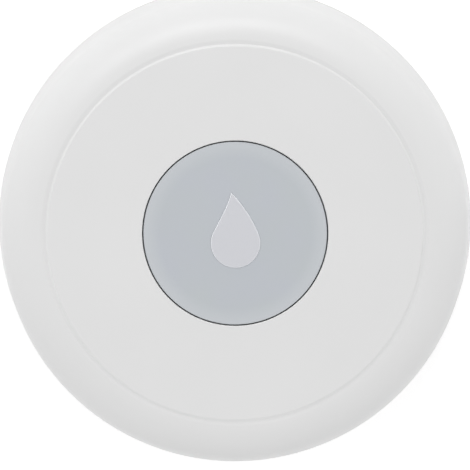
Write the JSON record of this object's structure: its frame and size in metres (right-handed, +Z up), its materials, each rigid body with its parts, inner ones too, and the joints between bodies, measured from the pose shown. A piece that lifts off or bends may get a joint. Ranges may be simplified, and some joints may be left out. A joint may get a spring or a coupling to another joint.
{
  "type": "water leak sensor",
  "caption": "Round white puck with a grey push button, a water-drop window and metal probe pins under it.",
  "frame": {"origin": "middle of the puck on the surface that its rubber feet stand on", "axes": "+Z up through the button, +Y towards the tip of the water drop, +X to its right"},
  "size_m": [0.066, 0.066, 0.022],
  "materials": {
    "white_plastic": "satin white moulded plastic",
    "button_grey": "matt grey plastic with a faint mottle",
    "window_clear": "frosted translucent plastic",
    "base_white": "fine spark-textured white plastic",
    "clear_silicone": "translucent silicone rubber",
    "grey_silicone": "grey silicone rubber",
    "foot_rubber": "dark grey rubber",
    "board_green": "green solder mask",
    "component_black": "matt black moulding compound",
    "component_tan": "tan fired ceramic",
    "led_yellow": "yellow phosphor on white",
    "natural_plastic": "natural nylon",
    "steel": "zinc-plated steel",
    "nickel": "nickel-plated spring steel",
    "gold": "gold-plated brass",
    "brass": "plain brass",
    "can_aluminium": "bare aluminium can",
    "cell_jacket": "printed film jacket, plain bands",
    "vent_film": "porous white film"
  },
  "bodies": {
    "case": {"top_cover": "white_plastic", "button_diaphragm": "clear_silicone", "diaphragm_clamp_ring": "natural_plastic", "circuit_board": "board_green", "board_screws": "steel", "switch_body": "component_black", "switch_cover": "nickel", "status_leds": "led_yellow", "microcontroller": "component_black", "radio_shield": "nickel", "crystal": "nickel", "chip_antenna": "component_tan", "power_inductor": "component_black", "ceramic_capacitors": "component_tan", "chip_resistors": "component_black", "storage_capacitor": "can_aluminium", "buzzer_case": "component_black", "buzzer_disc": "brass", "sound_vent_membrane": "vent_film", "battery_cell_1": "cell_jacket", "battery_cell_2": "cell_jacket", "positive_contact": "nickel", "negative_contact": "nickel", "bridge_contact": "nickel", "battery_springs": "nickel", "base_shell": "base_white", "case_gasket": "grey_silicone", "case_screws": "steel", "door_inserts": "brass", "probe_orings": "grey_silicone", "probe_nuts": "steel", "probe_springs": "nickel", "rubber_foot_1": "foot_rubber", "probe_pin_1": "gold", "rubber_foot_2": "foot_rubber", "probe_pin_2": "gold", "rubber_foot_3": "foot_rubber", "probe_pin_3": "gold", "rubber_foot_4": "foot_rubber", "probe_pin_4": "gold"},
    "button": {"button_cap": "button_grey", "drop_window": "window_clear"},
    "switch_plunger": {"switch_plunger": "component_black"},
    "battery_door": {"battery_door": "base_white", "door_gasket": "grey_silicone", "door_screws": "steel"}
  },
  "joints": [
    {"name": "button_press", "type": "slide", "parent": "case", "child": "button", "axis": [0, 0, -1], "range_m": [0, 0.0003], "stiffness_N_per_m": 2000, "springref_m": -0.0005, "deforming": ["button_diaphragm"]},
    {"name": "switch_plunger_press", "type": "slide", "parent": "case", "child": "switch_plunger", "axis": [0, 0, -1], "range_m": [0, 0.0003]},
    {"name": "battery_door_lift", "type": "slide", "parent": "case", "child": "battery_door", "axis": [0, 0, -1], "range_m": [0, 0.015]}
  ],
  "couplings": [
    {"joint": "switch_plunger_press", "follows": "button_press", "ratio": 1}
  ]
}
